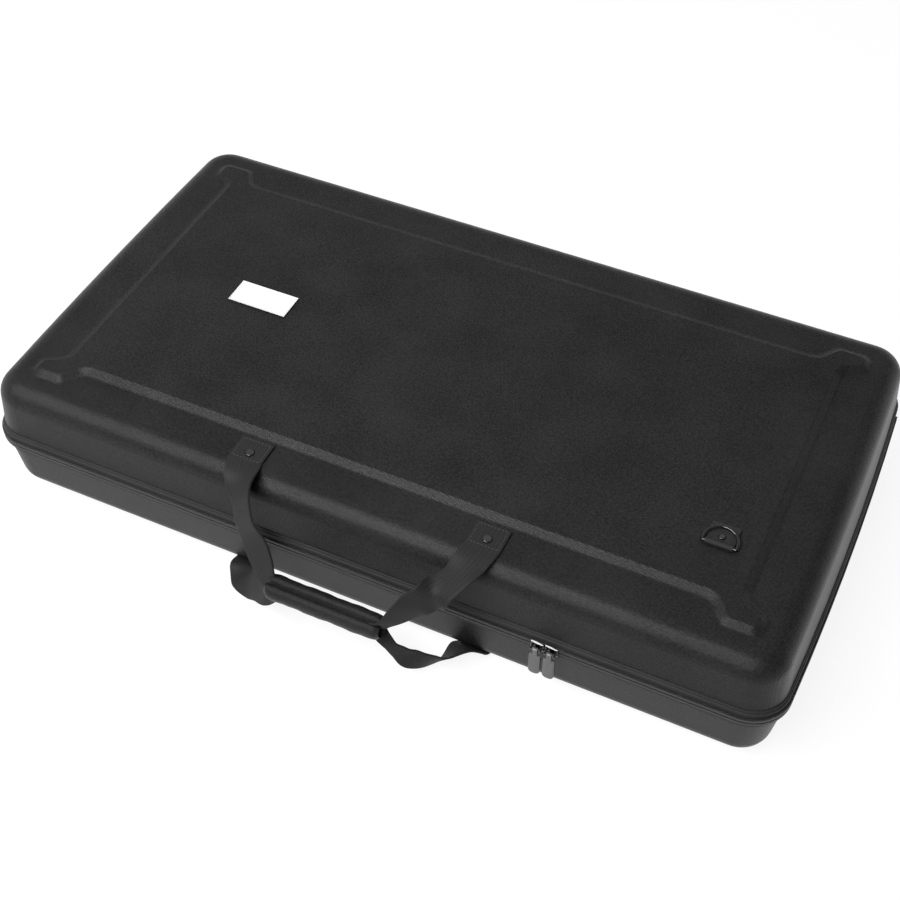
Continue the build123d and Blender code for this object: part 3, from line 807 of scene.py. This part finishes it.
# sliders with softened edges; pulls with a packed neck and a thick rounded plate
sliderShape = {"soft": 0.35, "softSteps": 3}
pullShape = {
    "places": {"left": 181.5, "right": 194.5}, "out": -222.5, "top": 62.6, "bottom": 37.5,
    "wide": 10.8, "thick": 3.0, "corner": 4.6, "cornerSteps": 7, "soft": 0.9, "softSteps": 4,
    "neckFrom": 61.6, "neckSoft": 0.4, "neckSteps": 2,
}
plateMiddle = (pullShape["top"] + pullShape["bottom"]) / 2
plateSize = (pullShape["wide"], pullShape["thick"], pullShape["top"] - pullShape["bottom"])
for side, x in pullShape["places"].items():
    neck = copyOfNode("pull_" + side, "pull_neck")
    openMesh(neck)
    bpy.ops.mesh.bisect(
        plane_co=(0, 0, pullShape["neckFrom"] * mm), plane_no=(0, 0, 1),
        clear_inner=True, use_fill=True,
    )
    closeMesh()
    roundEdges(neck, pullShape["neckSoft"] * mm, pullShape["neckSteps"])
    clearSelection()
    bpy.ops.mesh.primitive_cube_add(
        size=1, location=(x * mm, pullShape["out"] * mm, plateMiddle * mm),
        scale=[s * mm for s in plateSize],
    )
    plate = named("pull_plate")
    applyPlace(plate)
    openMesh(plate, "DESELECT")
    bpy.ops.mesh.select_mode(type="EDGE")
    closeMesh()
    for edge in plate.data.edges:
        # the two lower edges that go through the plate
        first, second = [plate.data.vertices[v].co for v in edge.vertices]
        low = max(first.z, second.z) < plateMiddle * mm
        edge.select = low and abs(first.y - second.y) > pullShape["thick"] / 2 * mm
    bpy.ops.object.mode_set(mode="EDIT")
    bpy.ops.mesh.bevel(
        offset=pullShape["corner"] * mm, segments=pullShape["cornerSteps"], affect="EDGES"
    )
    closeMesh()
    roundEdges(plate, pullShape["soft"] * mm, pullShape["softSteps"])
    pull = joined(f"pull_{side}_cast", [neck, plate])
    smooth(pull, 50)
    dress(pull, gunmetal, "pull_" + side)
    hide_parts("pull_" + side)
    slider = copyOfNode("slider_" + side, f"slider_{side}_cast")
    roundEdges(slider, sliderShape["soft"] * mm, sliderShape["softSteps"])
    smooth(slider, 50)
    dress(slider, blackNickel, "slider_" + side)
    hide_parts("slider_" + side)
print("pulls and sliders made")

# fleece inside both halves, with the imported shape
for body in ("lid", "base"):
    lining = copyOfNode(body + "_lining", body + "_lining_fleece")
    smooth(lining, 40)
    dress(lining, fleece, body)
    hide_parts(body + "_lining")

# foam in the base, cut with soft edges
padShape = {
    "soft": 2.4, "softSteps": 3,
    "nodes": (
        "floor_foam", "foam_bar_left", "foam_bar_right", "foam_bar_front", "foam_bar_back",
        "foam_divider",
    ),
}
for node in padShape["nodes"]:
    pad = copyOfNode(node, node + "_soft")
    roundEdges(pad, padShape["soft"] * mm, padShape["softSteps"])
    smooth(pad, 50)
    dress(pad, foam, "base")
    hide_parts(node)

# foam in the lid, with rows of rounded peaks
peaks = {
    "halfLong": 363.0, "halfWide": 186.0, "top": 129.5, "valley": 119.0, "peak": 109.8,
    "pitch": 30.0, "step": 4.0,
}
columns = round(2 * peaks["halfLong"] / peaks["step"])
rows = round(2 * peaks["halfWide"] / peaks["step"])
clearSelection()
bpy.ops.mesh.primitive_grid_add(x_subdivisions=columns, y_subdivisions=rows, size=1)
lidPad = named("lid_pad_peaks")
for index, vertex in enumerate(lidPad.data.vertices):
    row, column = divmod(index, columns + 1)
    x = peaks["halfLong"] * (2 * column / columns - 1)
    y = peaks["halfWide"] * (2 * row / rows - 1)
    waves = cos(2 * pi * x / peaks["pitch"]) + cos(2 * pi * y / peaks["pitch"])
    share = 0.5 + 0.25 * waves
    height = peaks["valley"] + (peaks["peak"] - peaks["valley"]) * share
    vertex.co = Vector((x, y, height)) * mm
openMesh(lidPad)
bpy.ops.mesh.extrude_region_move(TRANSFORM_OT_translate={"value": (0, 0, 0)})
closeMesh()
for vertex in lidPad.data.vertices:
    if vertex.select:
        vertex.co.z = peaks["top"] * mm
tidyMesh(lidPad)
smooth(lidPad, 60)
dress(lidPad, foam, "lid")
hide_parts("lid_foam_pad")
print("inside made")

# floor and wall in one round piece, open at the top, just below the case
stage = {
    "radius": 8.0, "wall": 2.2, "bend": 1.2, "under": 0.4 * mm, "sides": 96, "bendSteps": 8,
    "colour": (0.15, 0.15, 0.15), "seen": 0.88, "world": 0.26,
}
clearSelection()
bpy.ops.mesh.primitive_cylinder_add(
    vertices=stage["sides"], radius=stage["radius"], depth=stage["wall"],
    location=(0, 0, stage["wall"] / 2 - stage["under"]), end_fill_type="NGON",
)
floor = named("floor")
applyPlace(floor)
openMesh(floor, "DESELECT")
closeMesh()
for face in floor.data.polygons:
    face.select = face.normal.z > 0.9
bpy.ops.object.mode_set(mode="EDIT")
bpy.ops.mesh.delete(type="ONLY_FACE")
bpy.ops.mesh.select_all(action="SELECT")
bpy.ops.mesh.flip_normals()
closeMesh()
roundEdges(floor, stage["bend"], stage["bendSteps"])
smooth(floor, 60)

# the floor takes the shadow, and rays that show it also see it glow white
floorMaterial, tree, shader = startMaterial("white floor")
setShader(
    shader, {"Roughness": 0.9, "Specular IOR Level": 0.1, "Base Color": (*stage["colour"], 1)}
)
lightPath = addNode(tree, "ShaderNodeLightPath")
glow = addNode(tree, "ShaderNodeEmission")
glow.inputs["Color"].default_value = (1, 1, 1, 1)
glow.inputs["Strength"].default_value = stage["seen"]
addUp = addNode(tree, "ShaderNodeAddShader")
choose = addNode(tree, "ShaderNodeMixShader")
output = tree.nodes["Material Output"]
rays = mathNode(
    tree, "MAXIMUM", lightPath.outputs["Is Camera Ray"], lightPath.outputs["Is Glossy Ray"]
)
rays = mathNode(tree, "MAXIMUM", rays, lightPath.outputs["Is Transmission Ray"])
tree.links.new(shader.outputs[0], addUp.inputs[0])
tree.links.new(glow.outputs[0], addUp.inputs[1])
tree.links.new(rays, choose.inputs[0])
tree.links.new(shader.outputs[0], choose.inputs[1])
tree.links.new(addUp.outputs[0], choose.inputs[2])
tree.links.new(choose.outputs[0], output.inputs["Surface"])
floor.data.materials.append(floorMaterial)

world = bpy.data.worlds.new("studio")
bpy.context.scene.world = world
world.use_nodes = True
sky = world.node_tree.nodes["Background"]
sky.inputs["Color"].default_value = (1, 1, 1, 1)
sky.inputs["Strength"].default_value = stage["world"]

# the strip makes the highlights along the front slopes
lamps = {
    "strip": {
        "place": (-0.5, -1.16, 1.74), "aim": (0, -0.12, 0.1), "size": (1.9, 0.55), "power": 54,
    },
    "above": {"place": (-0.5, 0.9, 2.4), "aim": (0, 0, 0.1), "size": (2.0, 1.6), "power": 8},
}
for name, lamp in lamps.items():
    bpy.ops.object.light_add(type="AREA", location=lamp["place"])
    light = bpy.context.object
    light.name = "lamp " + name
    light.data.shape = "RECTANGLE"
    light.data.size, light.data.size_y = lamp["size"]
    light.data.energy = lamp["power"]
    aim = Vector(lamp["aim"]) - Vector(lamp["place"])
    light.rotation_euler = aim.to_track_quat("-Z", "Y").to_euler()
bpy.context.scene.view_settings.view_transform = "Standard"
print("stage made")
